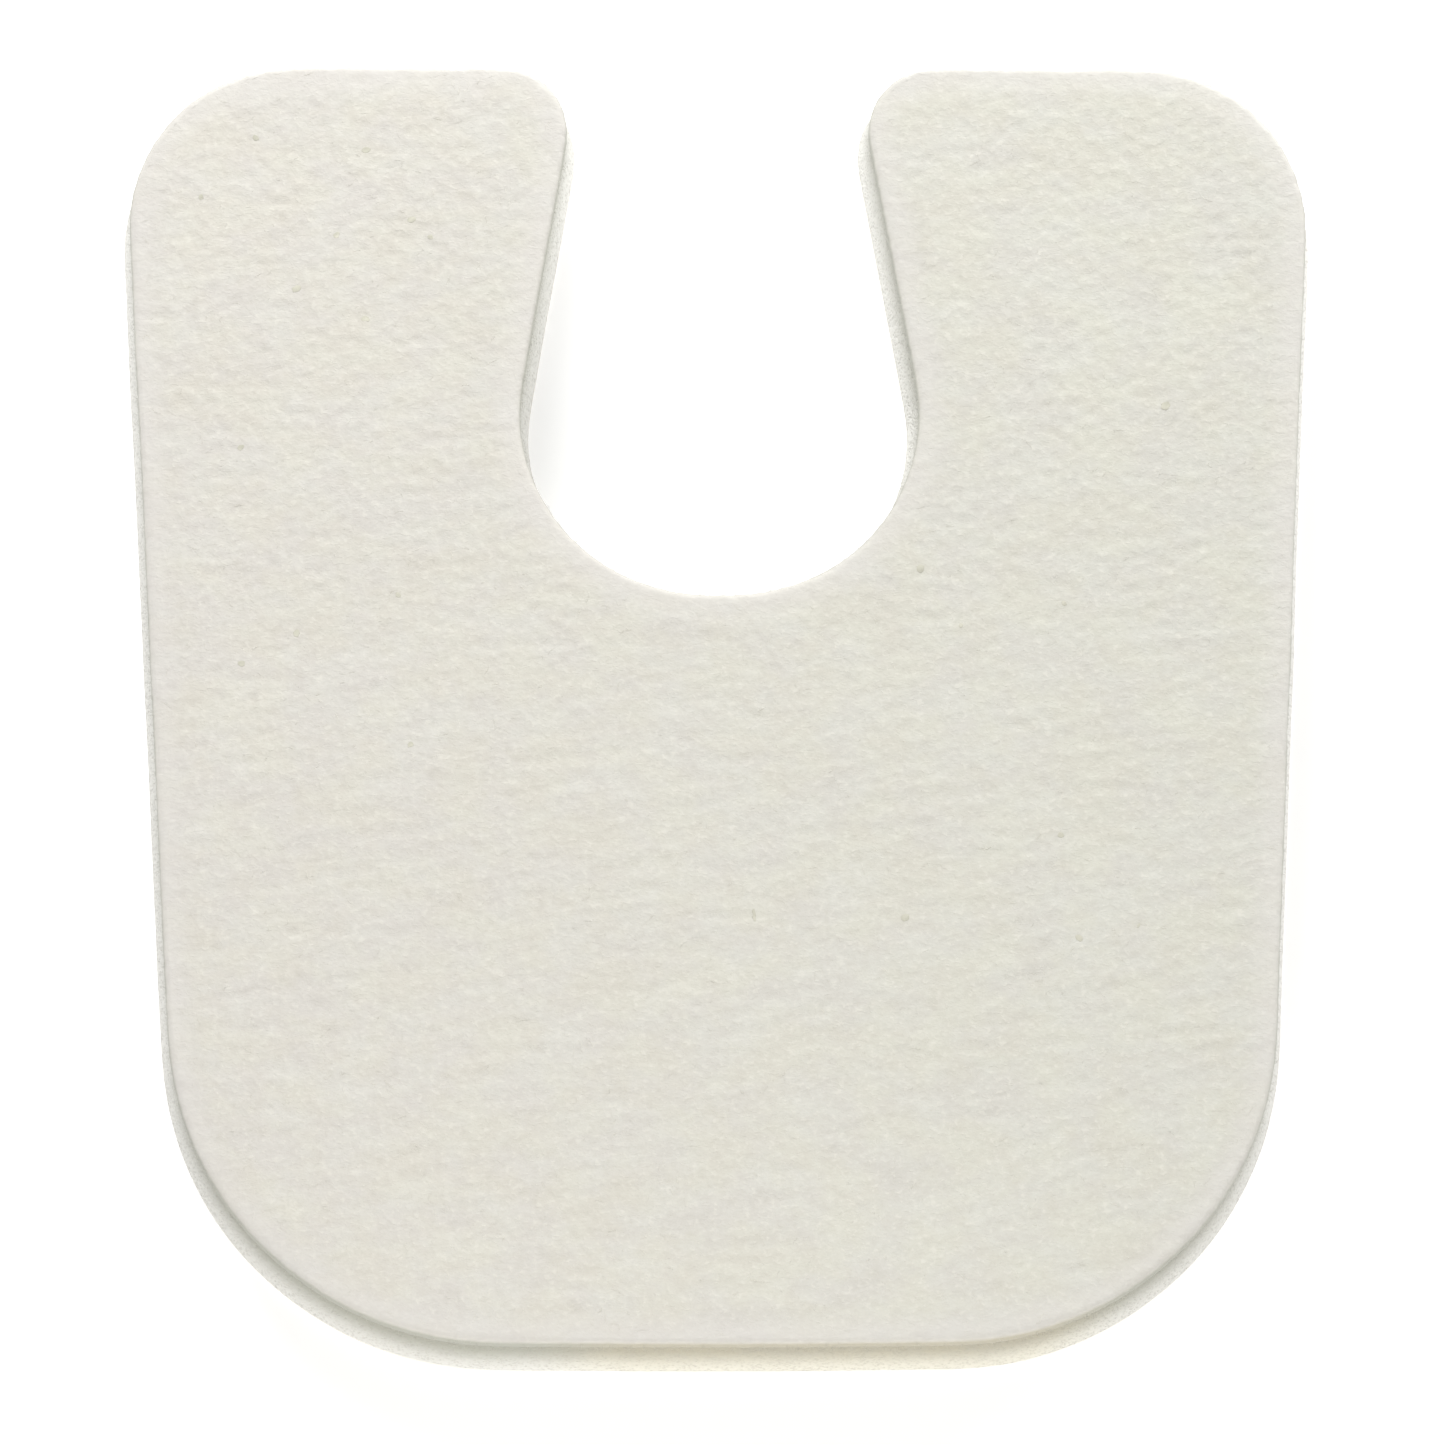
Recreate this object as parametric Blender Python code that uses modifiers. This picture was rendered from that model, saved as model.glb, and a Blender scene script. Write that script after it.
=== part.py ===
"""Adhesive foam foot pad: a U-shaped stick-on cushion, lying flat with its fleecy side up.

Metres, +Z up. The underside is at z = 0, and the origin is under the middle of the outline's box.
+Y points to the open end of the slot, +X to the right when that end points away.
"""

import math
from collections import namedtuple

import bmesh
import bpy
from mathutils import Vector

# Outline at the foot of the cut wall
PAD_WIDTH = 0.0572              # across the shoulders, where the pad is widest
PAD_LENGTH = 0.0635
SIDE_TAPER_DEG = 3.1            # each side leans in by this much on its way down
SHOULDER_RADIUS = 0.0083        # outer corners at the open end
LOWER_CORNER_RADIUS = 0.0160
LOWER_EDGE_RADIUS = 0.70        # the lower edge is one shallow arc

# Slot between the legs, narrowest just below the leg tips
SLOT_MOUTH = 0.0137
SLOT_DEPTH = 0.0264
SLOT_SPREAD_DEG = 9.8           # each slot wall leans out by this much on its way down
SLOT_ROUND_RADIUS = 0.0086
LEG_TIP_RADIUS = 0.0036         # inner corners of the legs

# Layers, from the underside up
BACKING_THICKNESS = 0.0003
FOAM_THICKNESS = 0.0033
COVER_THICKNESS = 0.0010
BOND_GAP = 0.0001               # left between two layers for their glue

# Cut wall: the foam spreads to its foot, and the cover's rim is drawn in and rounded
RIM_INSET = 0.0004              # from the foot of the wall in to the cover's edge
RIM_OVERHANG = 0.00015          # the foam's upper edge sits this far behind the cover's
COVER_RIM_ROUND = 0.0004

# Rows of the foam's cut wall, as shares of its thickness and of its whole draw-in
WallRow = namedtuple("WallRow", "height draw_in")
FOAM_WALL = (
    WallRow(0.00, 0.00),
    WallRow(0.18, 0.40),
    WallRow(0.50, 0.78),
    WallRow(1.00, 1.00),
)

ARC_STEP_DEG = 5.0
RIM_STEPS = 4
SHARP_EDGE_DEG = 30.0
MERGE_DISTANCE = 1e-6

COLLECTION = "adhesive_foam_foot_pad"
Finish = namedtuple("Finish", "name colour roughness")
FLEECE = Finish("brushed_fleece", (0.76, 0.74, 0.69, 1.0), 0.95)
FOAM = Finish("cream_foam", (0.72, 0.69, 0.55, 1.0), 0.90)
ADHESIVE = Finish("adhesive_film", (0.66, 0.62, 0.48, 1.0), 0.35)


def clear_scene():
    for item in list(bpy.data.objects):
        bpy.data.objects.remove(item, do_unlink=True)


def make_collection(name):
    collection = bpy.data.collections.new(name)
    bpy.context.scene.collection.children.link(collection)
    return collection


def make_material(finish):
    material = bpy.data.materials.new(finish.name)
    material.use_nodes = True
    shader = material.node_tree.nodes["Principled BSDF"]
    shader.inputs["Base Color"].default_value = finish.colour
    shader.inputs["Roughness"].default_value = finish.roughness
    shader.inputs["Metallic"].default_value = 0.0
    material.diffuse_color = finish.colour
    return material


def polar(angle):
    return Vector((math.cos(angle), math.sin(angle)))


def leg_tip_arc():
    """Inner corner of the right leg, tangent to the leg's top and to the slot wall."""
    centre = Vector((SLOT_MOUTH / 2 + LEG_TIP_RADIUS, PAD_LENGTH / 2 - LEG_TIP_RADIUS))
    spread = math.radians(SLOT_SPREAD_DEG)
    return centre, LEG_TIP_RADIUS, math.pi + spread, math.pi / 2


def slot_round_arc():
    """Right side of the slot's round end, tangent to the slot wall, at most a full round."""
    tip, tip_radius, wall_angle, _ = leg_tip_arc()
    spread = math.radians(SLOT_SPREAD_DEG)
    bottom = PAD_LENGTH / 2 - SLOT_DEPTH
    to_wall = tip.x * math.cos(spread) - tip_radius + (tip.y - bottom) * math.sin(spread)
    full_round = to_wall / (1 + math.sin(spread))
    radius = min(SLOT_ROUND_RADIUS, full_round)
    centre = Vector(((to_wall - radius * (1 + math.sin(spread))) / math.cos(spread), bottom + radius))
    return centre, radius, -math.pi / 2, wall_angle - math.pi


def shoulder_arc():
    """Outer corner of the right leg, which holds the pad's widest point."""
    centre = Vector((PAD_WIDTH / 2 - SHOULDER_RADIUS, PAD_LENGTH / 2 - SHOULDER_RADIUS))
    return centre, SHOULDER_RADIUS, math.pi / 2, -math.radians(SIDE_TAPER_DEG)


def lower_arcs():
    """Lower right corner and half of the lower edge: tangent to the side and to each other."""
    shoulder, shoulder_radius, _, side_angle = shoulder_arc()
    edge_centre = Vector((0.0, -PAD_LENGTH / 2 + LOWER_EDGE_RADIUS))
    outward = polar(side_angle)
    down = Vector((outward.y, -outward.x))
    start = shoulder + outward * (shoulder_radius - LOWER_CORNER_RADIUS) - edge_centre
    reach = LOWER_EDGE_RADIUS - LOWER_CORNER_RADIUS
    along = -start.dot(down) + math.sqrt(start.dot(down) ** 2 - start.length_squared + reach ** 2)
    from_edge_centre = start + down * along
    meeting_angle = math.atan2(from_edge_centre.y, from_edge_centre.x)
    corner = (edge_centre + from_edge_centre, LOWER_CORNER_RADIUS, side_angle, meeting_angle)
    edge = (edge_centre, LOWER_EDGE_RADIUS, meeting_angle, -math.pi / 2)
    return corner, edge


def arc_points(arc, inset, hollow=False):
    """Points along an arc that is moved into the pad by inset. A hollow arc then grows."""
    centre, radius, first, last = arc
    radius = radius + inset if hollow else radius - inset
    steps = max(3, math.ceil(abs(math.degrees(last - first)) / ARC_STEP_DEG))
    return [centre + radius * polar(first + (last - first) * i / steps) for i in range(steps + 1)]


def half_outline(inset):
    """Right half of the outline, from the middle of the slot's end to the middle of the lower edge."""
    corner, edge = lower_arcs()
    points = arc_points(slot_round_arc(), inset, hollow=True)
    points.insert(0, Vector((0.0, points[0].y)))
    for arc in (leg_tip_arc(), shoulder_arc(), corner, edge):
        points += arc_points(arc, inset)
    points[-1].x = 0.0
    return points


def build_layer(name, rows, finish, collection):
    """One layer: the outline face is extruded up through rows of (height, inset), then mirrored."""
    bm = bmesh.new()
    first_height, first_inset = rows[0]
    ring = [bm.verts.new((p.x, p.y, first_height)) for p in half_outline(first_inset)]
    underside = bm.faces.new(ring)
    top = underside
    for height, inset in rows[1:]:
        below = top
        raised = bmesh.ops.extrude_face_region(bm, geom=[below])["geom"]
        top = next(item for item in raised if isinstance(item, bmesh.types.BMFace))
        for vertex, point in zip(top.verts, half_outline(inset)):
            vertex.co = (point.x, point.y, height)
        if below is not underside:
            bm.faces.remove(below)
    middle = [f for f in bm.faces if all(abs(v.co.x) < MERGE_DISTANCE for v in f.verts)]
    bmesh.ops.delete(bm, geom=middle, context="FACES_ONLY")
    bmesh.ops.remove_doubles(bm, verts=bm.verts, dist=MERGE_DISTANCE)
    bmesh.ops.recalc_face_normals(bm, faces=bm.faces)
    mesh = bpy.data.meshes.new(name)
    bm.to_mesh(mesh)
    bm.free()
    mesh.shade_smooth()
    mesh.set_sharp_from_angle(angle=math.radians(SHARP_EDGE_DEG))
    layer = bpy.data.objects.new(name, mesh)
    collection.objects.link(layer)
    mesh.materials.append(make_material(finish))
    mirror = layer.modifiers.new("left_half", "MIRROR")
    mirror.use_axis = (True, False, False)
    mirror.use_mirror_merge = True
    mirror.merge_threshold = MERGE_DISTANCE
    return layer


def backing_rows():
    return [(0.0, 0.0), (BACKING_THICKNESS, 0.0)]


def foam_rows():
    bottom = BACKING_THICKNESS + BOND_GAP
    whole_draw_in = RIM_INSET + RIM_OVERHANG
    return [(bottom + row.height * FOAM_THICKNESS, row.draw_in * whole_draw_in) for row in FOAM_WALL]


def cover_rows():
    """A straight lower edge, then a quarter round up to the face."""
    bottom = BACKING_THICKNESS + FOAM_THICKNESS + 2 * BOND_GAP
    rounding = min(COVER_RIM_ROUND, COVER_THICKNESS)
    turn = bottom + COVER_THICKNESS - rounding
    rows = [(bottom, RIM_INSET)]
    for i in range(RIM_STEPS + 1):
        lean = polar(math.pi / 2 * i / RIM_STEPS)
        rows.append((turn + rounding * lean.y, RIM_INSET + rounding * (1 - lean.x)))
    return rows


def build():
    clear_scene()
    collection = make_collection(COLLECTION)
    build_layer("adhesive_backing", backing_rows(), ADHESIVE, collection)
    build_layer("foam_core", foam_rows(), FOAM, collection)
    build_layer("fleece_cover", cover_rows(), FLEECE, collection)


build()
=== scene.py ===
"""Looks of the adhesive foam foot pad: a brushed fleece cover on cream foam, with a tacky film beneath.

Metres, +Z up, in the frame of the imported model. The pad lies flat with its fleecy side up, the slot's
open end towards +Y. Every layer is cut along one line, so all of them take their outline from it.
"""

import math
import random
from collections import namedtuple

import bmesh
import bpy
import numpy as np
from mathutils import Matrix, Vector, kdtree, noise
from mathutils.bvhtree import BVHTree


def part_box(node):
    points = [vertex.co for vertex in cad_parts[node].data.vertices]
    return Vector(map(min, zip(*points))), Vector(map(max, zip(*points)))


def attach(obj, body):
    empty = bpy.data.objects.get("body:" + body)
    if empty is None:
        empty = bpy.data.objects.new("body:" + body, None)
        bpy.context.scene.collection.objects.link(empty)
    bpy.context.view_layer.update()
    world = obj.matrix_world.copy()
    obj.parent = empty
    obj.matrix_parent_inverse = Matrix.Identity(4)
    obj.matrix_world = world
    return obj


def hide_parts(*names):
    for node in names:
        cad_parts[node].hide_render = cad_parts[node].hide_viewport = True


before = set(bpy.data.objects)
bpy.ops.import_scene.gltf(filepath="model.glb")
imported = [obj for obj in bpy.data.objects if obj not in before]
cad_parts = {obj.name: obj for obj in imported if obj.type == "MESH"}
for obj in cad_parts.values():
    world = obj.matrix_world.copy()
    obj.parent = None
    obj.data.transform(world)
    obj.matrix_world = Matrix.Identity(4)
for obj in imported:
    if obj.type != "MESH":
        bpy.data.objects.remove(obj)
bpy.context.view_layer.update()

MM = 0.001
BODY = "root"
COVER_NODE = "fleece_cover"
FOAM_NODE = "foam_core"
FILM_NODE = "adhesive_backing"

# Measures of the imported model
PAD_HALF_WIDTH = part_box(FILM_NODE)[1].x
COVER_INSET = PAD_HALF_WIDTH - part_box(COVER_NODE)[1].x
COVER_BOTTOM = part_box(COVER_NODE)[0].z
COVER_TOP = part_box(COVER_NODE)[1].z
FILM_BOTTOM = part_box(FILM_NODE)[0].z
FILM_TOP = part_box(FILM_NODE)[1].z

# Cut line
LINE_STEP = 0.1 * MM
LINE_SOFTENING = 25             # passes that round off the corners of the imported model's chords
LINE_WANDER = 0.035 * MM        # how far the die's cut strays from its line
WANDER_LENGTH = 5.0 * MM
WELD = 0.001 * MM
HIDDEN_MARGIN = 0.3 * MM        # width of the ring of quads round a side that is never seen

# Fleece cover
COVER_CELL = 0.205 * MM
RIM_ROUND = 0.30 * MM
RIM_ROUND_STEPS = 4
RIM_SIDE_STEPS = 3
RIM_PRESS = 0.06 * MM           # the die presses the face down near its rim
RIM_PRESS_REACH = 1.5 * MM
RIM_PRESS_CALM = 0.35           # the share of the relief that this takes away
RIM_ROUGHNESS = 0.030 * MM
RIM_GRAIN = 0.35 * MM
CUT_LOOK_HEIGHT = 0.9 * RIM_ROUND  # how far up the rounded rim the cut side's painted shade reaches
BORDER_ROOM = 0.35              # cells left between a sheet's even grid and its border
RELAX_ROUNDS = 14
RELAX_REACH = 5                 # cells in from the rim

# Crepe of the brushed face: long low ripples that climb to the right
CREPE_HEIGHT = 0.031 * MM
CREPE_LENGTH = 3.6 * MM
CREPE_PITCH = 0.62 * MM
CREPE_SLOPE_BODY = math.tan(math.radians(8.0))
CREPE_SLOPE_LEGS = math.tan(math.radians(2.5))
CREPE_SWAY = 0.6                # pitches that a ripple strays up and down
CREPE_SWAY_SIZE = 6.0 * MM
FINE_CREPE = 0.3                # a finer crepe over the first, by its share of the height
FINE_CREPE_ALONG = 3.4          # and how much finer it is
FINE_CREPE_ACROSS = 2.1
TUFT_HEIGHT = 0.048 * MM
TUFT_SIZE = 0.44 * MM
FINE_TUFT = 0.5
FINE_TUFT_RATE = 2.1
CREPE_FADE = 6.5                # per metre towards the open end, where the crepe lies flatter
LEGS_START = -4.0 * MM          # along Y, the body turns into the legs from here
LEGS_END = 14.0 * MM            # to here
LEGS_ROUGHER = 0.30             # the legs' tufts stand this much higher
LEGS_FLATTER = 0.45             # and their crepe this much lower
SWELL_HEIGHT = 0.040 * MM
SWELL_SIZE = 9.0 * MM

# Foam core
WALL_CELL = 0.105 * MM
PORE_SIZE = 0.34 * MM
PORE_DEPTH = 0.055 * MM
PORE_WIDTH = 0.55               # of a pore's size
WALL_GRAIN = 0.2 * MM
WALL_GRAIN_DEPTH = 0.3 * PORE_DEPTH
WALL_WAVE = 0.035 * MM
WALL_WAVE_LENGTH = 2.4 * MM
WALL_WAVE_RISE = 0.4            # the waves run upright, so they change less with height
WALL_END_REACH = 0.3 * MM       # the wall is calmer this near to its foot and its top
WALL_END_SHARE = 0.3            # the share of its roughness that is left there
GROOVE_DEPTH = 0.22 * MM        # the foam shrinks back just under the cover's rim
GROOVE_REACH = 1.3 * MM
PAINTED_FOOT_LIGHT_LOW = -0.5 * MM       # painted floor light: the wall's colour pales towards its foot, most of all on the sides
PAINTED_FOOT_LIGHT_HIGH = 2.8 * MM
PAINTED_FOOT_LIGHT_SIDES = 1.7 * MM
PAINTED_FOOT_LIGHT_BACK = 0.3            # the share of it on walls that face the slot's open end

# Adhesive film
FILM_CELL = 0.50 * MM
FILM_EDGE_ROUND = 0.06 * MM
FILM_EDGE_STEP = 0.3 * FILM_EDGE_ROUND
FILM_RIPPLE = 0.012 * MM
FILM_RIPPLE_SIZE = 2.2 * MM
FILM_RIPPLE_FADE = 1.0 * MM     # the ripples fade out this near to the edge

# Loose fibres
FIBRE_SEED = 11
FIBRE_SIDES = 4
FIBRE_STEPS = 4
FIBRE_TIP = 0.35                # thickness of a tip, as a share of the fibre's middle
FACE_FIBRES = 2400
FACE_FIBRE_RADIUS = (0.005 * MM, 0.008 * MM)
FACE_FIBRE_LENGTH = (0.25 * MM, 0.85 * MM)
FACE_FIBRE_LIFT = (0.0, 0.008 * MM)
FACE_FIBRE_SINK = 0.003 * MM
FACE_FIBRE_STRAY = 0.9          # radians off the way that the crepe runs
FACE_FIBRE_CURL = 1.7           # radians from end to end
RIM_FIBRES = 1300
RIM_FIBRE_RADIUS = (0.004 * MM, 0.008 * MM)
RIM_FIBRE_REACH = (0.08 * MM, 0.26 * MM)
RIM_FIBRE_SIDEWAYS = 0.7        # of its reach
RIM_FIBRE_DROOP = (-0.1, 0.5)   # of its reach
RIM_FIBRE_SINK = 0.03 * MM
RIM_FIBRE_TOP = 0.4 * RIM_ROUND  # the highest root, below the pressed rim
TINY = 1e-9                     # keeps a division from failing where a fibre stands upright

# Faint creases that press the face in
Crease = namedtuple("Crease", "x y length slope_deg bow depth")
CREASES = (
    Crease(-8.5 * MM, -3.6 * MM, 5.6 * MM, 8.0, 0.35 * MM, 0.040 * MM),
    Crease(-2.2 * MM, -7.3 * MM, 1.7 * MM, 24.0, 0.10 * MM, 0.045 * MM),
)
CREASE_WIDTH = 0.16 * MM

# Dark bits of stray fibre and seed caught in the fleece
Speck = namedtuple("Speck", "x y length width turn_deg")
SPECKS = (
    Speck(1.5 * MM, -10.8 * MM, 0.62 * MM, 0.15 * MM, 96.0),
    Speck(8.6 * MM, -10.9 * MM, 0.40 * MM, 0.32 * MM, 20.0),
    Speck(16.8 * MM, -11.9 * MM, 0.40 * MM, 0.30 * MM, -35.0),
    Speck(19.6 * MM, -11.3 * MM, 0.24 * MM, 0.12 * MM, 60.0),
    Speck(21.3 * MM, 14.3 * MM, 0.50 * MM, 0.36 * MM, 35.0),
    Speck(9.5 * MM, 6.2 * MM, 0.42 * MM, 0.34 * MM, 50.0),
    Speck(16.0 * MM, -6.9 * MM, 0.32 * MM, 0.24 * MM, 0.0),
    Speck(11.4 * MM, 3.4 * MM, 0.24 * MM, 0.18 * MM, 80.0),
    Speck(16.3 * MM, 4.5 * MM, 0.26 * MM, 0.20 * MM, -20.0),
    Speck(-14.7 * MM, -2.5 * MM, 0.32 * MM, 0.24 * MM, 40.0),
    Speck(-20.1 * MM, 3.0 * MM, 0.38 * MM, 0.26 * MM, 75.0),
    Speck(-22.7 * MM, 1.5 * MM, 0.36 * MM, 0.28 * MM, 15.0),
    Speck(-15.3 * MM, 4.9 * MM, 0.30 * MM, 0.22 * MM, -60.0),
    Speck(-22.8 * MM, 12.2 * MM, 0.32 * MM, 0.24 * MM, 30.0),
    Speck(-16.9 * MM, 18.6 * MM, 0.40 * MM, 0.28 * MM, -10.0),
    Speck(-20.2 * MM, 20.1 * MM, 0.46 * MM, 0.32 * MM, 25.0),
    Speck(-14.7 * MM, 23.6 * MM, 0.40 * MM, 0.28 * MM, 10.0),
    Speck(-18.3 * MM, 22.8 * MM, 0.34 * MM, 0.26 * MM, 55.0),
    Speck(-13.8 * MM, 22.7 * MM, 0.28 * MM, 0.20 * MM, -30.0),
    Speck(-24.8 * MM, 24.7 * MM, 0.30 * MM, 0.22 * MM, 70.0),
    Speck(-16.9 * MM, 27.1 * MM, 0.44 * MM, 0.30 * MM, 5.0),
    Speck(-22.2 * MM, 27.7 * MM, 0.30 * MM, 0.24 * MM, -45.0),
)
SPECK_HALF_HEIGHT = 0.005 * MM
SPECK_LIFT = 0.006 * MM
SPECK_RAGGEDNESS = 0.05 * MM
SPECK_RAGGED_SIZE = 0.15 * MM
SPECK_SEED = 3

# The lower edge's cut side is warmer round this place
WARMER_PLACE = Vector((5.0 * MM, -31.5 * MM, 2.0 * MM))
WARMER_REACH = 15.0 * MM
WARMER_CORE = 0.6 * WARMER_REACH

# Colours, two where a look wavers between them
WHITE = (1.0, 1.0, 1.0, 1.0)
BLACK = (0.0, 0.0, 0.0, 1.0)
ROSY_TINTS = ((0.690, 0.656, 0.572, 1.0), (0.682, 0.650, 0.593, 1.0))
GREEN_TINTS = ((0.648, 0.640, 0.538, 1.0), (0.640, 0.634, 0.557, 1.0))
# Painted shade in the pile's hollows, and a painted highlight on its tips, following the bump's relief
PILE_HOLLOW_SHADE = (0.585, 0.565, 0.50, 1.0)
PILE_TIP_HIGHLIGHT = (0.76, 0.74, 0.665, 1.0)
# Paler rim: its pressed nap, and partly a painted glow of light along the edge
PALE_RIM_AND_GLOW = (0.703, 0.678, 0.650, 1.0)
# Painted shade: the cut sides are far darker than the cream foam, for the shade under the rim
SHADED_CUT_SIDE = (0.378, 0.378, 0.322, 1.0)
SHADED_CUT_SIDE_WARMER = (0.425, 0.396, 0.308, 1.0)
FOAM_PATCH = (0.35, 0.34, 0.30, 1.0)
# Painted shade in the foam's pores where the wall is painted pale; a little lighter than the wall's
# painted dark top
FOAM_PORE_SHADE = (0.42, 0.40, 0.33, 1.0)
# Painted light from the bright floor, on the wall's foot
PAINTED_FOOT_LIGHT = (0.87, 0.86, 0.82, 1.0)
PAINTED_FOOT_LIGHT_WARMER = (0.88, 0.855, 0.755, 1.0)
FILM_TINTS = ((0.62, 0.57, 0.42, 1.0), (0.57, 0.52, 0.37, 1.0))
# Painted floor light on the film's cut edge, as on the foam's foot
FILM_CUT_FLOOR_LIGHT = (0.90, 0.88, 0.82, 1.0)
# Face fibres are painted lighter than the face: painted light that offsets their own shade
FACE_FIBRE_LIT_TINTS = ((0.79, 0.77, 0.69, 1.0), (0.73, 0.72, 0.66, 1.0))
# Rim fibres are painted darker than the fleece, with the shade of the cut side
RIM_FIBRE_SHADE_TINTS = ((0.55, 0.54, 0.48, 1.0), (0.50, 0.49, 0.44, 1.0))
SPECK_TINTS = ((0.565, 0.555, 0.46, 1.0), (0.61, 0.595, 0.50, 1.0))
FLOOR_COLOUR = (0.95, 0.95, 0.95, 1.0)

# Looks of the materials
GREEN_START = -26.0 * MM        # the face turns from rosy to green from here
GREEN_END = 24.0 * MM           # to here
GREEN_BY_SIDE = 0.6             # the rest of it comes in patches
MOTTLE_WHITE = 0.25             # how much white and black the mottle adds at most
MOTTLE_BLACK = 0.17
PILE_HOLLOW_SHADE_SHARE = 0.30
PILE_TIP_HIGHLIGHT_SHARE = 0.45
PALE_RIM_AND_GLOW_SHARE = 0.45
FOAM_PATCH_SHARE = 0.3
FOAM_PORE_SHADE_SHARE = 0.25
FLEECE_ROUGHNESS = 0.95
FLEECE_SHEEN = 0.15
FIBRE_ROUGHNESS = 0.8
FOAM_ROUGHNESS = 0.9
FILM_ROUGHNESS = 0.35
FLOOR_ROUGHNESS = 0.9
PILE_BUMP = 0.05 * MM
PORE_BUMP = 0.03 * MM
DIMPLE_BUMP = 0.01 * MM
FILM_SMOOTHEST = 0.28
FILM_ROUGHEST = 0.45
FIBRE_TINT_SIZE = 1.2           # millimetres
SPECK_TINT_SIZE = 0.4

# Patterns. A range gives the values of the noise between which a mask comes up.
CLOUD_ROUGHNESS = 0.6
MOTTLE_ROUGHNESS = 0.85
FLECKS_TO_A_PATCH = 6.5
PATCH_RANGE = (0.36, 0.64)
FLECK_RANGE = (0.34, 0.66)
STREAK_BEND = 0.8
GRAINS_TO_A_WIDTH = 0.6
HOLLOW_RANGE = (0.34, 0.50)
TIP_RANGE = (0.52, 0.66)
CELL_RANGE = (0.05, 0.60)

# Camera
FRAME_PIXELS = 1445
LENS = 259.3
SENSOR = 36.0
CAMERA_DISTANCE = 0.493
CAMERA_TARGET = Vector((0.0, 0.0, 4.4 * MM))
CAMERA_TILT = math.radians(15.5)
CAMERA_DRIFT = math.radians(1.30)
CAMERA_ROLL = math.radians(-0.316)
TARGET_PIXEL = (721.0, 696.4)   # where the target shows in the photo's frame

# Studio
FLOOR_HALF_SIDE = 2.0
FLOOR_GAP = 0.01 * MM           # below the pad
FLOOR_GLOW = 0.26
SURROUND_STRENGTH = 0.50
Lamp = namedtuple("Lamp", "name place size power colour")
LAMPS = (
    Lamp("upper_left_lamp", (-0.07, 0.21, 0.15), 0.14, 0.59, (1.0, 1.0, 1.0)),
    Lamp("front_lamp", (0.0, -0.12, 0.05), 0.08, 0.072, (1.0, 0.98, 0.95)),
    Lamp("right_lamp", (0.16, 0.13, 0.045), 0.10, 0.220, (1.0, 1.0, 1.0)),
)


class CutLine:
    """The closed line that the die cut, seen from above, and the place on it nearest to any point."""

    def __init__(self, corners):
        points = self.evenly_spaced(np.array([(c.x, c.y) for c in corners]))
        for _ in range(LINE_SOFTENING):
            points = (np.roll(points, 1, axis=0) + 2 * points + np.roll(points, -1, axis=0)) / 4
        normals = self.normals_of(points)
        for point, normal in zip(points, normals):
            place = Vector((point[0], point[1], 0.0)) / WANDER_LENGTH
            point += normal * LINE_WANDER * noise.noise(place)
        self.points = [Vector(p) for p in points]
        self.normals = [Vector(n) for n in self.normals_of(points)]
        self.low, self.high = points.min(axis=0), points.max(axis=0)
        self.tree = kdtree.KDTree(len(points))
        for i, point in enumerate(self.points):
            self.tree.insert(point.to_3d(), i)
        self.tree.balance()

    @staticmethod
    def evenly_spaced(corners):
        closed = np.vstack([corners, corners[:1]])
        along = np.concatenate([[0.0], np.cumsum(np.linalg.norm(np.diff(closed, axis=0), axis=1))])
        count = round(along[-1] / LINE_STEP)
        stations = np.arange(count) * along[-1] / count
        return np.column_stack([np.interp(stations, along, closed[:, k]) for k in (0, 1)])

    @staticmethod
    def normals_of(points):
        """Outward normals of a line that runs anticlockwise."""
        ahead = np.roll(points, -2, axis=0) - np.roll(points, 2, axis=0)
        ahead /= np.linalg.norm(ahead, axis=1)[:, None]
        return np.column_stack([ahead[:, 1], -ahead[:, 0]])

    def nearest(self, place):
        """(distance in from the line, the line's nearest point, its outward normal)."""
        _, index, _ = self.tree.find((place.x, place.y, 0.0))
        normal = self.normals[index]
        depth = (self.points[index] - place.xy).dot(normal)
        return depth, place.xy + normal * depth, normal

    def at_depth(self, place, depth):
        """The point at that depth, abreast of place."""
        _, point, normal = self.nearest(place)
        return point - normal * depth

    def length(self):
        return LINE_STEP * len(self.points)


def foot_corners(node):
    """The corners of a node's underside, anticlockwise from above."""
    bm = bmesh.new()
    bm.from_mesh(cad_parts[node].data)
    bmesh.ops.remove_doubles(bm, verts=bm.verts, dist=WELD)
    level = min(v.co.z for v in bm.verts) + WELD
    underside = [f for f in bm.faces if all(v.co.z < level for v in f.verts)]
    merged = bmesh.ops.dissolve_faces(bm, faces=underside)["region"][0]
    corners = [v.co.copy() for v in merged.verts]
    bm.free()
    return corners[::-1]


def smoothstep(low, high, value):
    share = min(max((value - low) / (high - low), 0.0), 1.0)
    return share * share * (3 - 2 * share)


def finished(name, bm, material, turn_outwards=True):
    """The bmesh as an object at the origin, smooth shaded."""
    if turn_outwards:
        bmesh.ops.recalc_face_normals(bm, faces=bm.faces)
    mesh = bpy.data.meshes.new(name)
    bm.to_mesh(mesh)
    bm.free()
    mesh.shade_smooth()
    mesh.materials.append(material)
    piece = bpy.data.objects.new(name, mesh)
    bpy.context.scene.collection.objects.link(piece)
    return piece


def is_pinched(vertex):
    return sum(e.is_boundary for e in vertex.link_edges) > 2


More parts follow.
